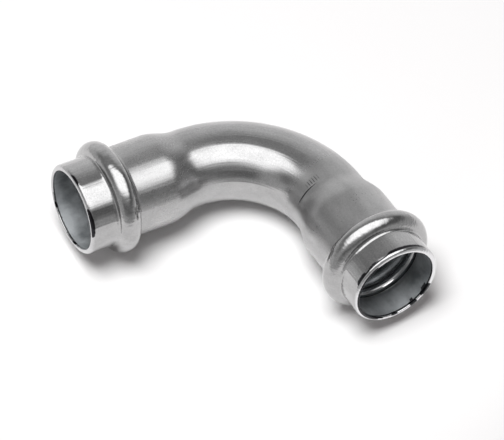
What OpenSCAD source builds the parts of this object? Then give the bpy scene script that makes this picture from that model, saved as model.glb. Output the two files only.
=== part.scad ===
// Press elbow: a steel tube bent through 90 degrees, with a press socket formed at
// each end and a rubber seal ring in the bead of each socket.
// It lies as it comes to rest, on both beads and the bend, so the arms climb a little towards
// their mouths. Socket A opens towards -X and socket B towards -Y.

/* [Pipe and wall] */
// Outside diameter of the pipe that is pushed into each socket
pipe_d = 22; // [20:0.5:26]
// Clearance on diameter between the pipe and the socket
pipe_clearance = 0.6; // [0.2:0.1:1]
// Wall thickness of the formed tube
wall = 1.5; // [1.2:0.1:2]

/* [Lip and collar] */
// Length of the lead-in collar, from the end of the mouth to the foot of the bead
collar_len = 7.2; // [4:0.1:12]
// Radius of the mouth's outer corner
lip_round = 1.1; // [0.4:0.1:1.5]
// Radius of the mouth's inner corner
lip_edge = 0.35; // [0.1:0.05:0.6]

/* [Seal and bead] */
// Diameter of the seal ring's section
seal_d = 3.2; // [2.4:0.1:4.2]
// How far the seal stands into the socket's bore
seal_proud = 0.2; // [0.05:0.05:0.5]
// Clearance between the seal and the bottom of its bead
seal_clearance = 0.1; // [0.05:0.05:0.4]
// Radius of the hollow at the bead's foot, on the outside
bead_fillet = 1; // [0.5:0.1:2]

/* [Socket and neck] */
// Length of the plain socket behind the bead
socket_len = 10.5; // [6:0.5:20]
// Length of the neck from the socket down to the bent tube
neck_len = 9; // [6:0.5:16]

/* [Bend] */
// Outside diameter of the bent tube
tube_d = 22; // [18:0.5:23]
// Bend radius, measured to the tube's axis
bend_r = 29; // [24:0.5:60]
// Straight tube between each neck and the bend
straight_len = 0.5; // [0.1:0.1:20]

/* [Hidden] */
$fn = 128;
// Degrees of arc between the points of a round outline
arc_step = 9;

bore_r = (pipe_d + pipe_clearance) / 2;
tube_bore_r = tube_d / 2 - wall;

// The mouth's corners are limited by the wall that they are cut from.
edge_r = min(lip_edge, wall / 3);
round_r = min(lip_round, wall - edge_r);

// The bead is formed round the seal, so its hollow shares the seal's centre.
seal_mid_r = bore_r - seal_proud + seal_d / 2;
groove_r = seal_d / 2 + seal_clearance;

// Each side of the bead is a hollow that runs into its crown, both turning by the same angle,
// with a straight flank between them where the bead stands taller than both.
bead_rise = seal_mid_r + groove_r - bore_r;
bead_curves = bead_fillet + wall + groove_r;
bead_turn = bead_rise < bead_curves ? acos(1 - bead_rise / bead_curves) : 90;
bead_len = 2 * bead_curves * sin(bead_turn);
foot_r = bore_r + wall + bead_fillet;

// Along each arm, from its mouth
seal_at = collar_len + bead_len / 2;
socket_at = collar_len + bead_len;
neck_at = socket_at + socket_len;
arm_len = neck_at + neck_len + straight_len;
mouth_at = arm_len + bend_r;

// It rests on the two beads and the bend, tipped about the line between the beads. Their undersides
// are level where reach * s = seal_mid_r * sqrt(1 - s * s / 2) + drop, with s the sine of that tilt.
crown_r = groove_r + wall;
bead_at = mouth_at - seal_at;
reach = bead_at / sqrt(2) - (sqrt(2) - 1) * bend_r;
drop = crown_r - tube_d / 2;
rest_sin = (reach * drop + seal_mid_r * sqrt(reach * reach + (seal_mid_r * seal_mid_r - drop * drop) / 2))
    / (reach * reach + seal_mid_r * seal_mid_r / 2);
rest_tilt = asin(rest_sin);

// How far each arm's axis climbs, and runs along and across, for each millimetre of its length
climb = rest_sin / sqrt(2);
along = (1 + cos(rest_tilt)) / 2;
across = (1 - cos(rest_tilt)) / 2;

// The box's bottom centre is the origin: it runs from each arm's lip to the other arm's bead.
lip_reach = (mouth_at - round_r) * along + (bore_r + wall - round_r) * sqrt(1 - along * along) + round_r;
bead_reach = bead_at * across + seal_mid_r * sqrt(1 - across * across) + crown_r;
middle = (lip_reach - bead_reach) / 2;
lift = seal_mid_r * sqrt(1 - climb * climb) + crown_r - bead_at * climb;

steel = [0.70, 0.71, 0.72];
rubber = [0.07, 0.07, 0.08];

// Points along an arc. Outlines are drawn as [distance from the socket's axis, distance from its mouth].
function arc(centre, r, from, to) =
    let (steps = 2 * ceil(abs(to - from) / arc_step / 2))
    [for (i = [0:steps]) let (a = from + (to - from) * i / steps) centre + r * [cos(a), sin(a)]];

// The neck's curve, eased at both ends, from the socket's radius to the tube's
function neck(from_r, to_r) =
    let (steps = ceil(90 / arc_step))
    [for (i = [0:steps]) [
        from_r + (to_r - from_r) * (1 - cos(180 * i / steps)) / 2,
        neck_at + neck_len * i / steps
    ]];

// One face of the wall from the bead to the bend: the inner face at an offset of 0, the outer at the wall's
function face(offset) = concat(
    arc([foot_r, collar_len], bead_fillet + wall - offset, 180, 180 - bead_turn),
    arc([seal_mid_r, seal_at], groove_r + offset, -bead_turn, bead_turn),
    arc([foot_r, socket_at], bead_fillet + wall - offset, 180 + bead_turn, 180),
    neck(bore_r + offset, tube_bore_r + offset),
    [[tube_bore_r + offset, arm_len]]
);

function backwards(points) = [for (i = [len(points) - 1:-1:0]) points[i]];

// One arm, standing on its mouth: lip, collar, bead, socket and neck
module arm() {
    outer_lip = arc([bore_r + wall - round_r, round_r], round_r, -90, 0);
    inner_lip = arc([bore_r + edge_r, edge_r], edge_r, 180, 270);
    rotate_extrude() polygon(concat(outer_lip, face(wall), backwards(face(0)), inner_lip));
}

// The bent tube, from arm B round to arm A
module bend() {
    translate([-bend_r, -bend_r, 0]) rotate_extrude(angle = 90) translate([bend_r, 0]) difference() {
        circle(d = tube_d);
        circle(d = tube_d - 2 * wall);
    }
}

// Lays what stands on a mouth into the place of socket A or B, about the axes' crossing.
module at_socket_a() {
    translate([-mouth_at, 0, 0]) rotate([0, 90, 0]) children();
}

module at_socket_b() {
    translate([0, -mouth_at, 0]) rotate([-90, 0, 0]) children();
}

// Tips the elbow to its rest and moves it so that the box's bottom centre is the origin
module in_frame() {
    translate([middle, middle, lift]) rotate(rest_tilt, [-1, 1, 0]) children();
}

module seal_ring() {
    translate([0, 0, seal_at]) rotate_extrude() translate([seal_mid_r, 0]) circle(d = seal_d);
}

module elbow_body() {
    color(steel) in_frame() union() {
        at_socket_a() arm();
        at_socket_b() arm();
        bend();
    }
}

module seal_ring_a() {
    color(rubber) in_frame() at_socket_a() seal_ring();
}

module seal_ring_b() {
    color(rubber) in_frame() at_socket_b() seal_ring();
}

elbow_body();
seal_ring_a();
seal_ring_b();
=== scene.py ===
import math
import bpy
import bmesh
from mathutils import Matrix, Vector


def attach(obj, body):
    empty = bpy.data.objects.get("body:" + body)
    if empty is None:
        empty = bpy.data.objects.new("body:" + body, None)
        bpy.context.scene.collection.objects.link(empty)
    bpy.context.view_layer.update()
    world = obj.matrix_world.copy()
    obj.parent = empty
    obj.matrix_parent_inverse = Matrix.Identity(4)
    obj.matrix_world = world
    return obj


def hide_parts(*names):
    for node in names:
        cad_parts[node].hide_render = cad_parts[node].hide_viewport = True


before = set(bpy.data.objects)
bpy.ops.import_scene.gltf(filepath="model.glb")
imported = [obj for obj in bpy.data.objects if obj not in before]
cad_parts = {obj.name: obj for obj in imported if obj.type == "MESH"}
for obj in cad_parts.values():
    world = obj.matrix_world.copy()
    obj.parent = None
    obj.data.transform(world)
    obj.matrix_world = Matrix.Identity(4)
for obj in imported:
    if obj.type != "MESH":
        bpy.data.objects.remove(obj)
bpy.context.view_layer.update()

mm = 0.001
scene = bpy.context.scene
scene.view_settings.view_transform = "Standard"


# how the elbow lies

# sizes in millimetres, the same as the part's source
elbowSizes = {
    "socketBore": 11.3,
    "wall": 1.5,
    "collarLength": 7.2,
    "lipRound": 1.1,
    "lipEdge": 0.35,
    "sealSection": 3.2,
    "sealProud": 0.2,
    "sealClearance": 0.1,
    "beadFoot": 1.0,
    "socketLength": 10.5,
    "neckLength": 9.0,
    "tubeRadius": 11.0,
    "bendRadius": 29.0,
    "straight": 0.5,
}
sz = elbowSizes
socketOuter = sz["socketBore"] + sz["wall"]
tubeBore = sz["tubeRadius"] - sz["wall"]
sealMiddle = sz["socketBore"] - sz["sealProud"] + sz["sealSection"] / 2
grooveRadius = sz["sealSection"] / 2 + sz["sealClearance"]
crownRadius = grooveRadius + sz["wall"]
beadCurves = sz["beadFoot"] + crownRadius
beadTurn = math.acos(1 - (sealMiddle + grooveRadius - sz["socketBore"]) / beadCurves)
beadLength = 2 * beadCurves * math.sin(beadTurn)
footRadius = socketOuter + sz["beadFoot"]
sealAt = sz["collarLength"] + beadLength / 2
socketAt = sz["collarLength"] + beadLength
neckAt = socketAt + sz["socketLength"]
neckEnd = neckAt + sz["neckLength"]
armLength = neckEnd + sz["straight"]
mouthAt = armLength + sz["bendRadius"]
bendLength = sz["bendRadius"] * math.pi / 2
pathLength = 2 * armLength + bendLength

# it rests on both beads and the underside of the bend
beadAt = mouthAt - sealAt
reach = beadAt / math.sqrt(2) - (math.sqrt(2) - 1) * sz["bendRadius"]
drop = crownRadius - sz["tubeRadius"]
root = math.sqrt(reach ** 2 + (sealMiddle ** 2 - drop ** 2) / 2)
restSine = (reach * drop + sealMiddle * root) / (reach ** 2 + sealMiddle ** 2 / 2)
restTilt = math.asin(restSine)
climb = restSine / math.sqrt(2)
along = (1 + math.cos(restTilt)) / 2
across = (1 - math.cos(restTilt)) / 2
lipMiddle = socketOuter - sz["lipRound"]
lipReach = (mouthAt - sz["lipRound"]) * along + lipMiddle * math.sqrt(1 - along ** 2) + sz["lipRound"]
beadReach = beadAt * across + sealMiddle * math.sqrt(1 - across ** 2) + crownRadius
middle = (lipReach - beadReach) / 2
lift = sealMiddle * math.sqrt(1 - climb ** 2) + crownRadius - beadAt * climb
tipped = Matrix.Rotation(restTilt, 4, Vector((-1, 1, 0)).normalized())
toRest = Matrix.Translation((middle * mm, middle * mm, lift * mm)) @ tipped @ Matrix.Scale(mm, 4)
print("rest tilt", round(math.degrees(restTilt), 2), "path", round(pathLength, 2))


# meshes

bodyLook = {
    "around": 128,          # points round each section
    "lipSteps": 10,         # points along the lip's round, its inner edge and so on to the bend
    "edgeSteps": 6,
    "plainSteps": 5,        # collar and socket
    "footSteps": 10,
    "crownSteps": 28,
    "neckSteps": 36,
    "straightSteps": 8,
    "bendSteps": 64,
    # the forming line where neck B leaves the tube: a groove, then a ridge, deepest inside the bend
    "groove": (0.05, 0.25, 0.28),   # depth, distance past the neck, half width
    "ridge": (0.06, -0.50, 0.45),
    "creaseMiddle": 138,            # degrees round the section
    "creaseReach": 42,
    "drag": (0.9, 2.5, 110, 131),   # drawn marks past the neck: from, to, and degrees round
    "dragSoft": (0.5, 4),           # their soft ends in millimetres, and sides in degrees
    # dark nicks and painted dark reflections on the lips: from and to in degrees round each mouth, how far
    # back they start and their width
    "lipNicksAndPaintedShade": {
        # on A the outer ones are painted dark reflections in the rounded corner, the inner ones nicks
        "A": {"outer": ((86, 105, 0.3, 0.5), (136, 178, 0.1, 0.8)),
              "inner": ((256, 265, 0.1, 0.6), (321, 330, 0.1, 0.6))},
        # on B the first four outer ones are painted dark reflections and the last two nicks; inside, the
        # first is a painted dark reflection and the rest nicks
        "B": {"outer": ((44, 110, 0.85, 0.35), (106, 146, 0.75, 0.3), (140, 158, 0.7, 1.1),
                        (120, 248, 0, 0.03), (297, 307, 0, 0.15), (318, 338, 0, 0.12)),
              "inner": ((116, 256, 0, 0.5), (267, 276, 0, 0.9), (296, 308, 0, 1.1), (316, 338, 0, 1.1))},
    },
    "nickDepth": 0.03,
    "nickAndShadeSoft": (0.12, 0.15),       # soft edges towards the mouth and away from it
    "nickAndShadeReach": 2,                 # behind the mouth, past which there are none
    "paintedShadeLine": (0.62, 0.9),        # painted shade: a dark line between the cut edge and the bore
    "paintedShadeDark": {"A": 0.42, "B": 0.9},
    "paintedShadeSoft": 0.1,                # behind the painted shade line, where it fades out
    "boreStart": (0.55, 0.8),       # behind the mouth, where the bright edge gives way to the bore
    # painted light and painted shade in a bore: degrees round, width, distance from the mouth, length, amount
    "borePaintedLight": {
        "A": ((298, 26, 1.6, 2.0, 0.9), (352, 40, 4.5, 2.5, -0.4), (262, 20, 5.0, 2.5, -0.3)),
        "B": ((275, 30, 3.4, 3.5, 0.5), (335, 26, 3.0, 3.5, -0.35)),
    },
    # distance from each mouth and dullness there: lip, collar, bead, socket, neck, bend
    "satin": {
        "A": ((0.0, 0.03), (0.9, 0.05), (1.6, 0.25), (13.2, 0.27), (14.4, 0.74),
              (24.0, 0.70), (28.0, 0.66), (38.0, 0.62), (47.0, 0.32)),
        "B": ((0.0, 0.0), (0.9, 0.05), (1.6, 0.25), (13.2, 0.27), (14.4, 0.78),
              (25.0, 0.75), (28.0, 1.0), (38.0, 0.9), (47.0, 0.30)),
    },
}


def arcRun(centreRadius, centreAlong, radius, start, stop, steps):
    # points of an arc as (distance along, radius), angles in degrees
    run = []
    for i in range(steps + 1):
        a = math.radians(start + (stop - start) * i / steps)
        run.append((centreAlong + radius * math.sin(a), centreRadius + radius * math.cos(a)))
    return run


def straightRun(fromAt, toAt, radius, steps):
    return [(fromAt + (toAt - fromAt) * i / steps, radius) for i in range(1, steps)]


def armFace(offset):
    # one face of the wall from the bead to the bend, inner at 0 and outer at the wall
    turn = math.degrees(beadTurn)
    hollow = sz["beadFoot"] + sz["wall"] - offset
    footSteps = bodyLook["footSteps"]
    run = arcRun(footRadius, sz["collarLength"], hollow, 180, 180 - turn, footSteps)
    run += arcRun(sealMiddle, sealAt, grooveRadius + offset, -turn, turn, bodyLook["crownSteps"])[1:]
    run += arcRun(footRadius, socketAt, hollow, 180 + turn, 180, footSteps)[1:]
    socket, tube = sz["socketBore"] + offset, tubeBore + offset
    run += straightRun(socketAt, neckAt, socket, bodyLook["plainSteps"])
    steps = bodyLook["neckSteps"]
    for i in range(steps + 1):
        t = i / steps
        ease = (1 - math.cos(math.pi * t)) / 2
        run.append((neckAt + sz["neckLength"] * t, socket + (tube - socket) * ease))
    return run + straightRun(neckEnd, armLength, tube, bodyLook["straightSteps"])


def lipOuter():
    r = sz["lipRound"]
    return arcRun(socketOuter - r, r, r, -90, 0, bodyLook["lipSteps"])


def lipInner():
    r = sz["lipEdge"]
    return arcRun(sz["socketBore"] + r, r, r, 180, 270, bodyLook["edgeSteps"])


def ringFrame(at):
    # centre and outward direction of the section at a distance from mouth A, about the axes' crossing
    r = sz["bendRadius"]
    if at <= armLength:
        return Vector((at - mouthAt, 0, 0)), Vector((0, 1, 0))
    if at >= armLength + bendLength:
        return Vector((0, -r - (at - armLength - bendLength), 0)), Vector((1, 0, 0))
    a = math.pi / 2 - (at - armLength) / r
    out = Vector((math.cos(a), math.sin(a), 0))
    return Vector((-r, -r, 0)) + out * r, out


def smoothStep(low, high, x):
    t = min(1, max(0, (x - low) / (high - low)))    # low may be the greater
    return t * t * (3 - 2 * t)


def nearerMouth(at):
    # which mouth is nearer, and the distance from it, by distance from mouth A
    return ("A", at) if at < pathLength / 2 else ("B", pathLength - at)


def satinShare(at):
    # 0 bright as the lip, 1 dull as neck B, by distance from mouth A
    mouth, s = nearerMouth(at)
    stops = bodyLook["satin"][mouth]
    for (s0, v0), (s1, v1) in zip(stops, stops[1:]):
        if s <= s1:
            return v0 + (v1 - v0) * smoothStep(s0, s1, s)
    return stops[-1][1]


def creaseAt(s, angle):
    # how far the outside stands proud near the forming line, by distance from mouth B
    height = 0
    for sign, (size, past, width) in ((-1, bodyLook["groove"]), (1, bodyLook["ridge"])):
        height += sign * size * math.exp(-((s - neckEnd - past) / width) ** 2)
    return height * (1 - smoothStep(0, bodyLook["creaseReach"], abs(angle - bodyLook["creaseMiddle"])))


def nickAndPaintedShadeAt(mouth, face, s, angle):
    # 1 in the lip's dark nicks and in its painted dark reflections and shade, by distance from the mouth and
    # angle round it
    ahead, behind = bodyLook["nickAndShadeSoft"]
    share = 0
    for low, high, start, width in bodyLook["lipNicksAndPaintedShade"][mouth][face]:
        off = abs(2 * angle - low - high) / (high - low)
        if off < 1:
            taper = math.sqrt(1 - off ** 2)
            end = start + width * taper
            inNick = smoothStep(start - ahead, start, s) * smoothStep(end + behind, end, s)
            share = max(share, inNick * min(1, 2 * taper))
    return share


def dragAt(s, angle):
    # 1 where the tool that formed neck B dragged on the tube
    fromAt, toAt, low, high = bodyLook["drag"]
    ends, sides = bodyLook["dragSoft"]
    past = s - neckEnd
    share = smoothStep(fromAt - ends, fromAt, past) * smoothStep(toAt + ends, toAt, past)
    share *= smoothStep(low - sides, low + sides, angle)
    return share * smoothStep(high + sides, high - sides, angle)


def paintedBoreLightAt(mouth, s, angle):
    # painted light and shade: how much lighter the bore is than its own mottling, by distance from the mouth
    # and angle round it
    share = 0
    for towards, width, at, length, amount in bodyLook["borePaintedLight"][mouth]:
        off = (angle - towards + 180) % 360 - 180
        share += amount * math.exp(-(off / width) ** 2 - ((s - at) / length) ** 2)
    return share


def smoothPiece(name, bm, rings):
    # joins each ring of points to the next, and the last to the first
    for i, a in enumerate(rings):
        b = rings[(i + 1) % len(rings)]
        for k in range(len(a)):
            after = (k + 1) % len(a)
            bm.faces.new((a[k], a[after], b[after], b[k]))
    bmesh.ops.recalc_face_normals(bm, faces=bm.faces)
    for f in bm.faces:
        f.smooth = True
    mesh = bpy.data.meshes.new(name)
    bm.to_mesh(mesh)
    bm.free()
    piece = bpy.data.objects.new(name, mesh)
    scene.collection.objects.link(piece)
    return piece


def makeElbowBody():
    collar, bore, plainSteps = sz["collarLength"], sz["socketBore"], bodyLook["plainSteps"]
    outerArm = lipOuter() + straightRun(sz["lipRound"], collar, socketOuter, plainSteps) + armFace(sz["wall"])
    edgeEnd, boreFrom = bodyLook["boreStart"]
    lineFrom, lineTo = bodyLook["paintedShadeLine"]
    pastLine = lineTo + bodyLook["paintedShadeSoft"]
    innerArm = lipInner()[::-1]
    innerArm += [(at, bore) for at in (edgeEnd, lineFrom, boreFrom, lineTo, pastLine)]
    innerArm += straightRun(pastLine, collar, bore, plainSteps) + armFace(0)

    def wholeFace(arm, radius, inside):
        # distance from mouth A, radius, dullness and share of the bore's look, for each ring of points
        def boreShare(s):
            return smoothStep(edgeEnd, boreFrom, s) if inside else 0

        face = [(s, r, satinShare(s), boreShare(s)) for s, r in arm]
        steps = bodyLook["bendSteps"]
        for i in range(steps + 1):
            at = armLength + bendLength * i / steps
            face.append((at, radius, satinShare(at), inside))
        face += [(pathLength - s, r, satinShare(pathLength - s), boreShare(s)) for s, r in reversed(arm)]
        return face

    outer = wholeFace(outerArm, sz["tubeRadius"], 0)
    inner = wholeFace(innerArm, tubeBore, 1)

    n = bodyLook["around"]
    bm = bmesh.new()
    pipePlace = bm.verts.layers.float_vector.new("pipePlace")
    satin = bm.verts.layers.float.new("satin")
    inside = bm.verts.layers.float.new("inside")
    nicksAndPaintedShade = bm.verts.layers.float.new("nicksAndPaintedShade")
    drag = bm.verts.layers.float.new("drag")
    stainAndPaintedLight = bm.verts.layers.float.new("stainAndPaintedLight")
    rings = []
    for i, (at, radius, dullness, boreShare) in enumerate(outer + inner[::-1]):
        centre, out = ringFrame(at)
        mouth, toMouth = nearerMouth(at)
        face = "outer" if i < len(outer) else "inner"
        onShadeLine = bodyLook["paintedShadeDark"][mouth] if face == "inner" and lineFrom <= toMouth <= lineTo else 0
        ring = []
        for k in range(n):
            a = 2 * math.pi * k / n
            angle = math.degrees(a)
            share = nickAndPaintedShadeAt(mouth, face, toMouth, angle) if toMouth < bodyLook["nickAndShadeReach"] else 0
            r = radius + share * bodyLook["nickDepth"] * (-1 if face == "outer" else 1)
            dragged = 0
            if mouth == "B" and face == "outer":
                crease = creaseAt(toMouth, angle)
                r += crease
                dragged = dragAt(toMouth, angle)
                # painted shade in the forming line's groove: darker as deep as the groove sinks
                if toMouth > neckEnd:
                    share = -crease / bodyLook["groove"][0]
            share = max(share, onShadeLine)
            c, s = r * math.cos(a), r * math.sin(a)
            v = bm.verts.new(toRest @ (centre + out * c + Vector((0, 0, s))))
            v[pipePlace] = Vector((c, s, at))
            v[satin] = dullness
            v[inside] = boreShare
            v[nicksAndPaintedShade] = share
            v[drag] = dragged
            v[stainAndPaintedLight] = paintedBoreLightAt(mouth, toMouth, angle) if face == "inner" else 0
            ring.append(v)
        rings.append(ring)
    return smoothPiece("elbowBody", bm, rings)


sealLook = {
    "around": 128,
    "section": 40,
    "flash": 0.035,         # mould line round the inside and the outside
    "flashWidth": 5,        # degrees
}


def makeSealRing(name, atA):
    bm = bmesh.new()
    centre, out = ringFrame(sealAt if atA else pathLength - sealAt)
    axis = Vector((1, 0, 0)) if atA else Vector((0, -1, 0))
    n, m = sealLook["around"], sealLook["section"]
    rows = []
    for k in range(n):
        a = 2 * math.pi * k / n
        ray = out * math.cos(a) + Vector((0, 0, math.sin(a)))
        row = []
        for j in range(m):
            p = 2 * math.pi * j / m
            offLine = min(math.degrees(p) % 180, 180 - math.degrees(p) % 180)
            flash = sealLook["flash"] * math.exp(-(offLine / sealLook["flashWidth"]) ** 2)
            r = sz["sealSection"] / 2 - sealLook["flash"] + flash
            point = centre + ray * (sealMiddle + r * math.cos(p)) + axis * r * math.sin(p)
            row.append(bm.verts.new(toRest @ point))
        rows.append(row)
    return smoothPiece(name, bm, rows)


# finishes

def addNode(tree, kind, **settings):
    node = tree.nodes.new(kind)
    for key, value in settings.items():
        setattr(node, key, value)
    return node


def newMaterial(name):
    mat = bpy.data.materials.new(name)
    mat.use_nodes = True
    tree = mat.node_tree
    tree.nodes.clear()
    return mat, tree, addNode(tree, "ShaderNodeOutputMaterial")


def newFinish(name):
    mat, tree, out = newMaterial(name)
    shader = addNode(tree, "ShaderNodeBsdfPrincipled")
    tree.links.new(shader.outputs["BSDF"], out.inputs["Surface"])
    return mat, tree, shader


noiseTurn = (0.21, 0.13, 0.34)  # radians, so that no layer of the noise lies along a ring of the mesh


def noiseOn(tree, place, stretch, detail, rough=0.5):
    # noise over a place, stretched by the three scales
    mapping = addNode(tree, "ShaderNodeMapping")
    mapping.inputs["Scale"].default_value = stretch
    mapping.inputs["Rotation"].default_value = noiseTurn
    noise = addNode(tree, "ShaderNodeTexNoise")
    noise.inputs["Scale"].default_value = 1
    noise.inputs["Detail"].default_value = detail
    noise.inputs["Roughness"].default_value = rough
    tree.links.new(place, mapping.inputs["Vector"])
    tree.links.new(mapping.outputs["Vector"], noise.inputs["Vector"])
    return noise.outputs["Fac"]


def doMath(tree, operation, a, b=None, c=None):
    node = addNode(tree, "ShaderNodeMath", operation=operation)
    for slot, value in enumerate((a, b, c)):
        if value is None:
            continue
        if isinstance(value, (int, float)):
            node.inputs[slot].default_value = value
        else:
            tree.links.new(value, node.inputs[slot])
    return node.outputs[0]


def spread(tree, value, low, high):
    # remaps 0..1 to low..high
    return doMath(tree, "MULTIPLY_ADD", value, high - low, low)


def alongRay(tree, vector, direction):
    node = addNode(tree, "ShaderNodeVectorMath", operation="DOT_PRODUCT")
    node.inputs[1].default_value = direction
    tree.links.new(vector, node.inputs[0])
    return node.outputs["Value"]


def eased(tree, value, low, high):
    # 0 at low, 1 at high, whichever is the greater
    node = addNode(tree, "ShaderNodeMapRange", interpolation_type="SMOOTHSTEP")
    node.inputs["From Min"].default_value = low
    node.inputs["From Max"].default_value = high
    tree.links.new(value, node.inputs["Value"])
    return node.outputs["Result"]


def mixed(tree, factor, a, b):
    node = addNode(tree, "ShaderNodeMix", data_type="RGBA")
    tree.links.new(factor, node.inputs["Factor"])
    for socket, value in (("A", a), ("B", b)):
        if isinstance(value, float):
            value = (value, value, value)
        if isinstance(value, tuple):
            node.inputs[socket].default_value = (*value, 1)
        else:
            tree.links.new(value, node.inputs[socket])
    return node.outputs["Result"]


def attribute(tree, name, output="Fac"):
    return addNode(tree, "ShaderNodeAttribute", attribute_name=name).outputs[output]


def bumped(tree, height, strength, distance, under=None):
    node = addNode(tree, "ShaderNodeBump")
    node.inputs["Strength"].default_value = strength
    node.inputs["Distance"].default_value = distance
    tree.links.new(height, node.inputs["Height"])
    if under:
        tree.links.new(under, node.inputs["Normal"])
    return node.outputs["Normal"]


steelLook = {
    "light": (0.555, 0.553, 0.555),
    "dull": (0.31, 0.308, 0.31),
    "lipTint": (0.80, 0.80, 0.81),
    "lipEnd": 20,           # how steeply that tint gives way as the dullness rises
    # the colour of the nicks, the drag marks, and the painted shade and dark reflections
    "darkNickAndShade": (0.03, 0.03, 0.033),
    "boreLight": (0.62, 0.65, 0.67),
    "boreDark": (0.19, 0.205, 0.215),
    "bright": 0.05,         # roughness at the lip
    "dullest": 0.37,        # roughness on the necks
    "boreRough": 0.34,
    "boreMetal": 0.45,
    # noises: scales for each millimetre, detail, roughness
    "drawn": ((2.6, 2.6, 0.10), 3, 0.5),
    "grain": ((2.4, 2.4, 2.4), 4, 0.6),
    "mottle": ((0.28, 0.28, 0.14), 4, 0.6),
    "stainAndPaintedLight": ((0.17, 0.17, 0.14), 5, 0.6),
    "lines": ((0.8, 0.8, 0.02), 1, 0.5),
    "grainShare": 0.55,     # of the grain, where another noise is mixed with it
    "shades": (-0.4, 1.4),  # from the dull to the light colour, where the mottling is 0 and 1
    "boreShades": (-0.6, 1.6),
    "roughness": (0.75, 1.25),          # times the surface's own, where the fine noise is 0 and 1
    "ragged": 0.6,          # how much the grain frays the nicks and the painted shade
    "nickAndShadeEdge": (0.7, 0.95),
    "dragAcross": (-7.0, -3.7, 0.0),    # across the drag marks, in radians of their wave for each millimetre
    "dragWander": 1.5,
    "dragEdge": (0.2, 0.9),
    "dragDark": 0.75,
    # bumps: strength and height in metres, then their share on the brightest and the dullest steel
    "lineBump": (1.0, 0.00010),
    "lineShare": (0.9, 0.05),
    "fineBump": (0.65, 0.00003),
    "fineShare": (0.1, 1.0),
}


def makeSteel():
    mat, tree, shader = newFinish("satinSteel")
    look = steelLook
    place = attribute(tree, "pipePlace", "Vector")
    satin = attribute(tree, "satin")
    inside = attribute(tree, "inside")
    grain = noiseOn(tree, place, *look["grain"])

    def withGrain(noise):
        other = doMath(tree, "MULTIPLY", noise, 1 - look["grainShare"])
        return doMath(tree, "ADD", other, doMath(tree, "MULTIPLY", grain, look["grainShare"]))

    mottle = withGrain(noiseOn(tree, place, *look["mottle"]))
    colour = mixed(tree, spread(tree, mottle, *look["shades"]), look["dull"], look["light"])
    colour = mixed(tree, doMath(tree, "MULTIPLY", satin, look["lipEnd"]), look["lipTint"], colour)
    stainAndPaintedLight = spread(tree, noiseOn(tree, place, *look["stainAndPaintedLight"]), *look["boreShades"])
    # the bore's mottling, with its painted light and shade added
    stainAndPaintedLight = doMath(tree, "ADD", stainAndPaintedLight, attribute(tree, "stainAndPaintedLight"))
    colour = mixed(tree, inside, colour, mixed(tree, stainAndPaintedLight, look["boreDark"], look["boreLight"]))
    # the nicks, the drag marks and the painted shade and dark reflections darken the colour
    ragged = doMath(tree, "MULTIPLY_ADD", grain, look["ragged"], attribute(tree, "nicksAndPaintedShade"))
    nickedAndShaded = eased(tree, ragged, *look["nickAndShadeEdge"])
    wave = doMath(tree, "MULTIPLY_ADD", grain, look["dragWander"], alongRay(tree, place, look["dragAcross"]))
    wave = eased(tree, doMath(tree, "SINE", wave), *look["dragEdge"])
    dragged = doMath(tree, "MULTIPLY", wave, attribute(tree, "drag"))
    dark = doMath(tree, "MAXIMUM", nickedAndShaded, doMath(tree, "MULTIPLY", dragged, look["dragDark"]))
    tree.links.new(mixed(tree, dark, colour, look["darkNickAndShade"]), shader.inputs["Base Color"])
    tree.links.new(spread(tree, inside, 1, look["boreMetal"]), shader.inputs["Metallic"])

    fine = withGrain(noiseOn(tree, place, *look["drawn"]))
    rough = spread(tree, satin, look["bright"], look["dullest"])
    grained = doMath(tree, "MULTIPLY", rough, spread(tree, fine, *look["roughness"]))
    boreRough = addNode(tree, "ShaderNodeMix", data_type="FLOAT")
    boreRough.inputs["B"].default_value = look["boreRough"]
    tree.links.new(inside, boreRough.inputs["Factor"])
    tree.links.new(grained, boreRough.inputs["A"])
    tree.links.new(boreRough.outputs["Result"], shader.inputs["Roughness"])

    lines = noiseOn(tree, place, *look["lines"])
    lines = doMath(tree, "MULTIPLY", lines, spread(tree, satin, *look["lineShare"]))
    lined = bumped(tree, lines, *look["lineBump"])
    fine = doMath(tree, "MULTIPLY", fine, spread(tree, satin, *look["fineShare"]))
    tree.links.new(bumped(tree, fine, *look["fineBump"], lined), shader.inputs["Normal"])
    return mat


rubberLook = {
    "colour": (0.035, 0.038, 0.042),
    "bloom": (0.060, 0.065, 0.070),
    "bloomNoise": ((180, 180, 180), 3),     # scales for each metre, detail
    "skinNoise": ((2600, 2600, 2600), 2),
    "skinBump": (0.2, 0.00002),             # strength, height in metres
    "rough": (0.14, 0.22),
    "gloss": 0.9,
    "coat": 1.0,
    "coatRough": 0.05,
    "coatIor": 2.8,
}


def makeRubber():
    mat, tree, shader = newFinish("sealRubber")
    place = addNode(tree, "ShaderNodeTexCoord").outputs["Object"]
    bloom = noiseOn(tree, place, *rubberLook["bloomNoise"])
    skin = noiseOn(tree, place, *rubberLook["skinNoise"])
    shader.inputs["Specular IOR Level"].default_value = rubberLook["gloss"]
    shader.inputs["Coat Weight"].default_value = rubberLook["coat"]
    shader.inputs["Coat Roughness"].default_value = rubberLook["coatRough"]
    shader.inputs["Coat IOR"].default_value = rubberLook["coatIor"]
    colour = mixed(tree, bloom, rubberLook["colour"], rubberLook["bloom"])
    tree.links.new(colour, shader.inputs["Base Color"])
    tree.links.new(spread(tree, skin, *rubberLook["rough"]), shader.inputs["Roughness"])
    tree.links.new(bumped(tree, skin, *rubberLook["skinBump"]), shader.inputs["Normal"])
    return mat


# pieces

steel = makeSteel()
rubber = makeRubber()

body = makeElbowBody()
body.data.materials.append(steel)
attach(body, "root")
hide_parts("elbow_body")
print("elbow body", len(body.data.vertices), "points")

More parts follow.
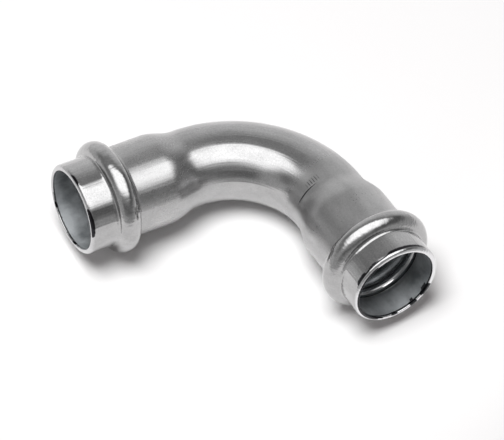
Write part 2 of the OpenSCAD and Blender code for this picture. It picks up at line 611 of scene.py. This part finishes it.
sealRings = {}
for name, node, atA in (("sealRingA", "seal_ring_a", True), ("sealRingB", "seal_ring_b", False)):
    ring = makeSealRing(name, atA)
    ring.data.materials.append(rubber)
    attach(ring, "root")
    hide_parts(node)
    sealRings[name] = ring
print("seal rings done")


# floor and light

roomSides = ("far", "left", "right", "near", "nearLeft")
viewSide = {
    "right": (0.877, -0.48, 0.0),   # seen from the camera
    "near": (-0.48, -0.877, 0.0),   # towards the camera
}


# where each side of the room starts and is full: -1 to 1, by the turn to the right, or else to the camera
sideEdges = {
    "right": (-0.3, 0.3),
    "far": (-0.5, -0.95),
    "near": (0.4, 0.95),
    "nearLeft": (0.3, 0.65),    # the lesser of the turns to the camera and to the left
}


def roundTheRoom(tree, where, length, far, left, right, near, nearLeft):
    # blends the levels or ramps of the sides by the direction of a place, length being its distance level
    nearness, rightness = (doMath(tree, "DIVIDE", alongRay(tree, where, viewSide[way]), length)
                           for way in ("near", "right"))
    level = mixed(tree, eased(tree, rightness, *sideEdges["right"]), left, right)
    level = mixed(tree, eased(tree, nearness, *sideEdges["far"]), level, far)
    level = mixed(tree, eased(tree, nearness, *sideEdges["near"]), level, near)
    corner = doMath(tree, "MINIMUM", nearness, doMath(tree, "MULTIPLY", rightness, -1))
    return mixed(tree, eased(tree, corner, *sideEdges["nearLeft"]), level, nearLeft)


floorLook = {
    "reach": 3.0,
    "white": 0.90,
    "middle": -0.04,        # towards the camera, the middle of its painted pool of light
    "centre": 0.001,        # least distance, so that the middle has a direction too
    "fade": (0.095, 0.20),  # distance over which the painted pool of light gives way to the room's own level, painted as a glow
    "far": 0.88,            # that painted glow's level beyond the object, beside it and towards the camera, seen by the camera and in reflections
    "left": 0.64,
    "right": 0.48,
    "near": 0.46,
    "nearLeft": 0.52,
}


def makeFloor():
    mesh = bpy.data.meshes.new("floorSheet")
    r = floorLook["reach"]
    mesh.from_pydata([(-r, -r, 0), (r, -r, 0), (r, r, 0), (-r, r, 0)], [], [(0, 1, 2, 3)])
    floor = bpy.data.objects.new("floorSheet", mesh)
    scene.collection.objects.link(floor)
    mat, tree, out = newMaterial("whiteSheet")
    diffuse = addNode(tree, "ShaderNodeBsdfDiffuse")
    where = addNode(tree, "ShaderNodeTexCoord").outputs["Object"]
    distance = addNode(tree, "ShaderNodeVectorMath", operation="DISTANCE")
    distance.inputs[1].default_value = Vector(viewSide["near"]) * floorLook["middle"]
    tree.links.new(where, distance.inputs[0])
    away = distance.outputs["Value"]
    # a painted pool of light: the sheet's colour fades from white to black away from its middle, and beyond
    # it a painted glow of the room's level shows to the camera and in reflections, though it lights nothing
    faded = eased(tree, away, *floorLook["fade"])
    tree.links.new(mixed(tree, faded, floorLook["white"], 0.0), diffuse.inputs["Color"])
    apart = doMath(tree, "MAXIMUM", away, floorLook["centre"])
    room = roundTheRoom(tree, where, apart, *(floorLook[side] for side in roomSides))
    glow = addNode(tree, "ShaderNodeEmission")
    tree.links.new(mixed(tree, faded, 0.0, room), glow.inputs["Color"])
    path = addNode(tree, "ShaderNodeLightPath")
    shown = doMath(tree, "MAXIMUM", path.outputs["Is Glossy Ray"], path.outputs["Is Transmission Ray"])
    shown = doMath(tree, "MAXIMUM", path.outputs["Is Camera Ray"], shown)
    tree.links.new(shown, glow.inputs["Strength"])
    both = addNode(tree, "ShaderNodeAddShader")
    tree.links.new(diffuse.outputs["BSDF"], both.inputs[0])
    tree.links.new(glow.outputs["Emission"], both.inputs[1])
    tree.links.new(both.outputs["Shader"], out.inputs["Surface"])
    mesh.materials.append(mat)


makeFloor()

keyLamp = {
    "from": (-0.17, -0.01, 0.98),
    "away": 0.9,
    "size": 0.5,
    "energy": 8.4,
}
fillLamp = {
    "from": (-0.74, -0.64, 0.19),
    "away": 0.9,
    "size": 0.3,
    "energy": 0.9,
}

# a small lamp that lights the seal in mouth B alone, for its glint
glintLamp = {
    "from": (0.045, -0.81, 0.585),
    "away": 0.5,
    "size": 0.2,
    "energy": 0.5,
}


def hangLamp(name, look, onlyOn=None):
    lamp = bpy.data.lights.new(name, "AREA")
    lamp.shape = "DISK"
    lamp.size = look["size"]
    lamp.energy = look["energy"]
    lampObject = bpy.data.objects.new(name, lamp)
    ray = Vector(look["from"]).normalized()
    lampObject.location = ray * look["away"]
    lampObject.rotation_euler = ray.to_track_quat("Z", "Y").to_euler()
    lampObject.visible_glossy = onlyOn is not None  # the metal shows the room and its softbox instead
    scene.collection.objects.link(lampObject)
    if onlyOn:
        lit = bpy.data.collections.new(name + "Lit")
        lit.objects.link(onlyOn)
        lampObject.light_linking.receiver_collection = lit


hangLamp("keyLamp", keyLamp)
hangLamp("fillLamp", fillLamp)
hangLamp("glintLamp", glintLamp, sealRings["sealRingB"])

# the room that the metal reflects: a pale wall beyond, darker sides
roomLook = {
    # height of a direction (0 level, 1 overhead) and brightness there
    "far": ((0.0, 0.87), (0.2, 0.84), (0.4, 0.76), (0.6, 0.57), (0.75, 0.36), (1.0, 0.31)),
    "left": ((0.0, 0.70), (0.15, 0.58), (0.3, 0.37), (0.45, 0.26), (0.6, 0.30), (1.0, 0.30)),
    "right": ((0.0, 0.52), (0.15, 0.40), (0.3, 0.20), (0.45, 0.14), (0.6, 0.18), (1.0, 0.30)),
    "near": ((0.0, 0.41), (0.15, 0.29), (0.3, 0.20), (0.4, 0.21), (0.6, 0.37), (1.0, 0.46)),
    "nearLeft": ((0.0, 0.52), (0.15, 0.50), (0.3, 0.48), (0.45, 0.48), (0.6, 0.55), (1.0, 0.46)),
    "fill": (0.193, 0.180, 0.181),  # what reaches dull surfaces, a little warm
    "overhead": 1.0001,             # a little over 1, so that straight up has a direction too
}


def makeRoom():
    world = bpy.data.worlds.new("room")
    scene.world = world
    world.use_nodes = True
    world.cycles.sampling_method = "NONE"
    tree = world.node_tree
    tree.nodes.clear()
    out = addNode(tree, "ShaderNodeOutputWorld")
    back = addNode(tree, "ShaderNodeBackground")
    where = addNode(tree, "ShaderNodeTexCoord").outputs["Generated"]
    split = addNode(tree, "ShaderNodeSeparateXYZ")
    tree.links.new(where, split.inputs[0])
    z = split.outputs["Z"]

    def wallRamp(steps):
        ramp = addNode(tree, "ShaderNodeValToRGB")
        ends = ramp.color_ramp.elements
        for i, (at, level) in enumerate(steps):
            stop = ends[i] if i < 2 else ends.new(at)
            stop.position = at
            stop.color = (level, level, level, 1)
        tree.links.new(z, ramp.inputs["Fac"])
        return ramp.outputs["Color"]

    level = doMath(tree, "SUBTRACT", roomLook["overhead"], doMath(tree, "MULTIPLY", z, z))
    level = doMath(tree, "SQRT", level)
    walls = roundTheRoom(tree, where, level, *(wallRamp(roomLook[side]) for side in roomSides))
    path = addNode(tree, "ShaderNodeLightPath")
    colour = mixed(tree, path.outputs["Is Diffuse Ray"], walls, roomLook["fill"])
    tree.links.new(colour, back.inputs["Color"])
    tree.links.new(back.outputs["Background"], out.inputs["Surface"])


makeRoom()

# the softbox overhead, seen only in reflections: each edge starts and is full at these distances
softboxLook = {
    "height": 0.30,
    "level": 2.25,
    "turn": 9,                      # degrees from the camera's own right and near
    "left": (-0.36, -0.12),
    "right": (0.42, 0.15),
    "far": (-0.135, -0.065),
    "near": (0.32, 0.11),
}


def makeSoftbox():
    turn = Matrix.Rotation(math.radians(softboxLook["turn"]), 3, "Z")
    right, near = turn @ Vector(viewSide["right"]), turn @ Vector(viewSide["near"])
    up = Vector((0, 0, softboxLook["height"]))
    corners = [right * softboxLook[side][0] + near * softboxLook[end][0] + up
               for side, end in (("left", "near"), ("right", "near"), ("right", "far"), ("left", "far"))]
    mesh = bpy.data.meshes.new("softbox")
    mesh.from_pydata(corners, [], [(0, 1, 2, 3)])
    sheet = bpy.data.objects.new("softbox", mesh)
    scene.collection.objects.link(sheet)
    sheet.visible_camera = sheet.visible_diffuse = sheet.visible_shadow = False
    mat, tree, out = newMaterial("softboxCloth")
    where = addNode(tree, "ShaderNodeTexCoord").outputs["Object"]
    lit = None
    for axis, edges in ((right, ("left", "right")), (near, ("far", "near"))):
        across = alongRay(tree, where, axis)
        for edge in edges:
            share = eased(tree, across, *softboxLook[edge])
            lit = share if lit is None else doMath(tree, "MULTIPLY", lit, share)
    glow = addNode(tree, "ShaderNodeEmission")
    glow.inputs["Strength"].default_value = softboxLook["level"]
    clear = addNode(tree, "ShaderNodeBsdfTransparent")
    blend = addNode(tree, "ShaderNodeMixShader")
    tree.links.new(lit, blend.inputs["Fac"])
    tree.links.new(clear.outputs["BSDF"], blend.inputs[1])
    tree.links.new(glow.outputs["Emission"], blend.inputs[2])
    tree.links.new(blend.outputs["Shader"], out.inputs["Surface"])
    mesh.materials.append(mat)


makeSoftbox()
print("floor and light done")


# camera

photoCamera = {
    "aim": (0.001531, -0.002340, 0.018075),
    "round": -28.684,       # degrees
    "above": 55.930,
    "roll": -0.743,
    "away": 0.93816,
    "lens": 248.39,
    "sensor": 36,           # millimetres, as the lens
    "clip": 0.01,
}


def makeCamera():
    cam = bpy.data.cameras.new("photoCamera")
    cam.sensor_width = photoCamera["sensor"]
    cam.lens = photoCamera["lens"]
    cam.clip_start = photoCamera["clip"]
    az, el, roll = (math.radians(photoCamera[k]) for k in ("round", "above", "roll"))
    back = Vector((math.sin(az) * math.cos(el), -math.cos(az) * math.cos(el), math.sin(el)))
    right = Vector((math.cos(az), math.sin(az), 0))
    up = back.cross(right)
    sideways = right * math.cos(roll) + up * math.sin(roll)
    upright = up * math.cos(roll) - right * math.sin(roll)
    turn = Matrix((sideways, upright, back)).transposed().to_4x4()
    eye = Vector(photoCamera["aim"]) + back * photoCamera["away"]
    camObject = bpy.data.objects.new("photoCamera", cam)
    camObject.matrix_world = Matrix.Translation(eye) @ turn
    scene.collection.objects.link(camObject)
    scene.camera = camObject


makeCamera()
